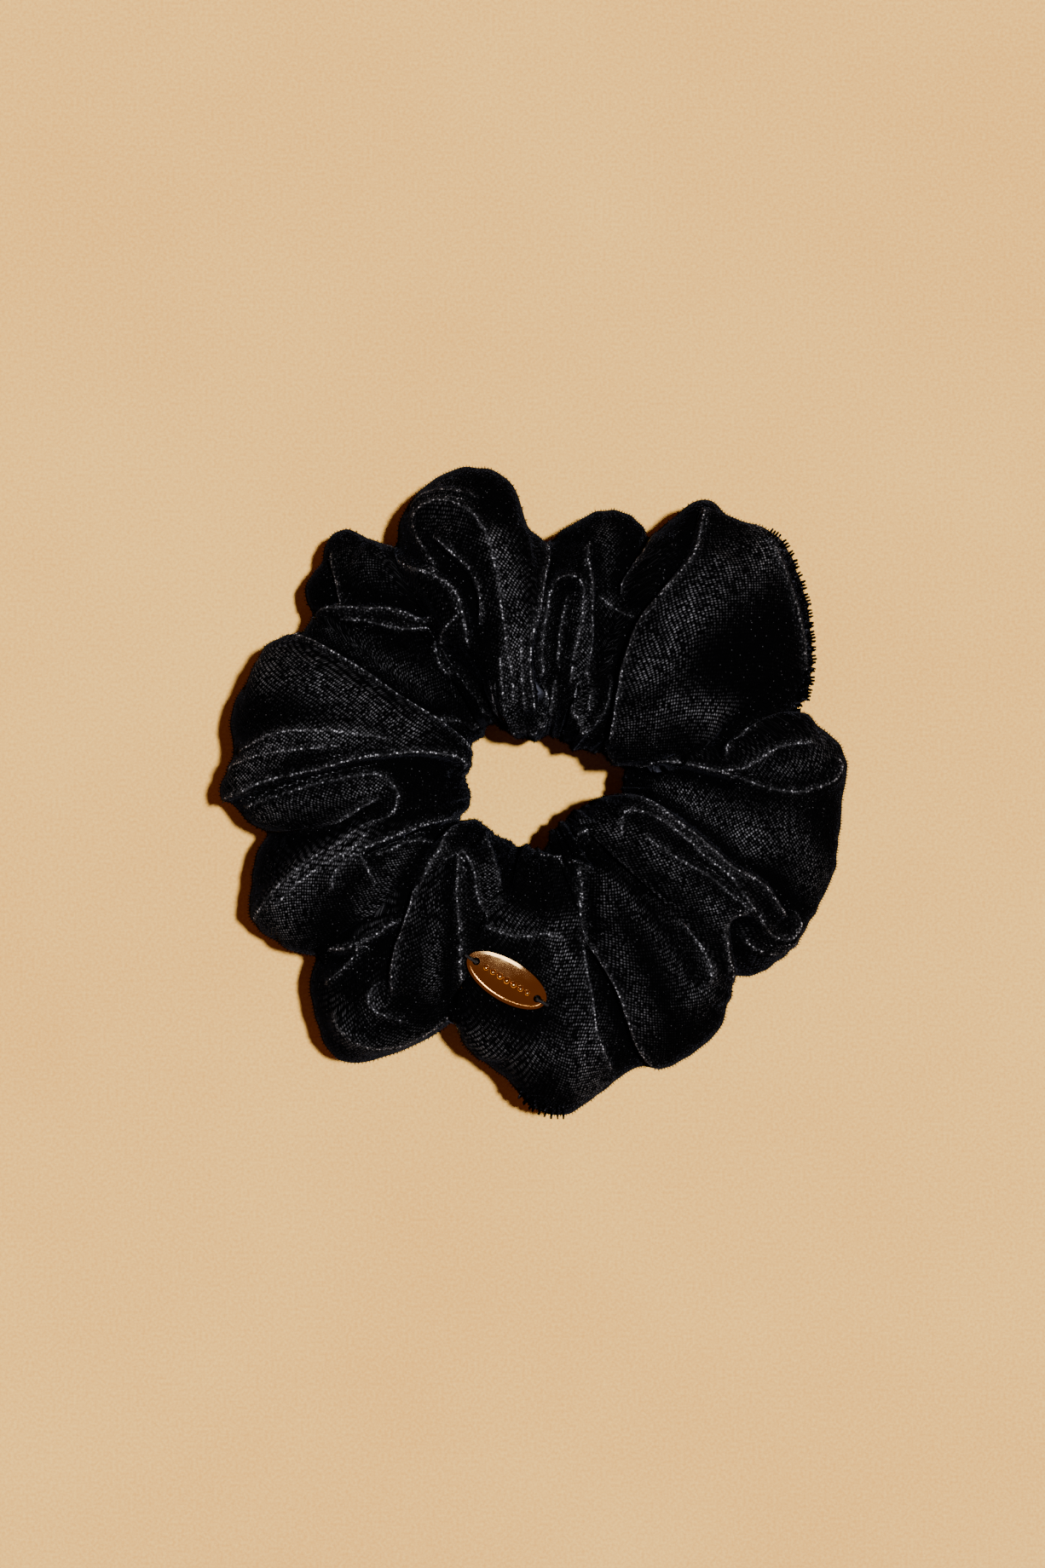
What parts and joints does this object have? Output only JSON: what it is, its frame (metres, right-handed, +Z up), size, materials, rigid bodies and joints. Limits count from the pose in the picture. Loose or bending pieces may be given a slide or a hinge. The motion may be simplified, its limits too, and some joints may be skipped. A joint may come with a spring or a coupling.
{
  "type": "scrunchie",
  "caption": "Gathered velvet hair scrunchie around an elastic loop, with a small oval metal tag sewn to one lobe.",
  "frame": {"origin": "middle of the box, on the surface that the scrunchie lies on", "axes": "+Z up out of the lying ring, +Y from the lobe with the tag towards the side that is pulled, +X to the right of the tag as it is seen from above"},
  "size_m": [0.107, 0.112, 0.0307],
  "materials": {
    "velvet": "black cut-pile velvet with a faint blue-grey sheen on its folds",
    "elastic": "woven black elastic",
    "thread": "twisted polyester thread, black",
    "gold_tag": "polished gold plating"
  },
  "bodies": {
    "tag_side": {"cover_tag_side": "velvet", "cover_right_side": "velvet", "cover_left_side": "velvet", "elastic_band": "elastic", "elastic_join_stitches": "thread", "long_seam_thread": "thread", "closing_stitches": "thread", "metal_tag": "gold_tag", "tag_thread_left": "thread", "tag_thread_right": "thread"},
    "pulled_side": {"cover_far_side": "velvet"}
  },
  "joints": [
    {"name": "stretch", "type": "slide", "parent": "tag_side", "child": "pulled_side", "axis": [0, 1, 0], "range_m": [0, 0.06], "stiffness_N_per_m": 120, "deforming": ["cover_right_side", "cover_left_side", "elastic_band", "long_seam_thread"]}
  ]
}
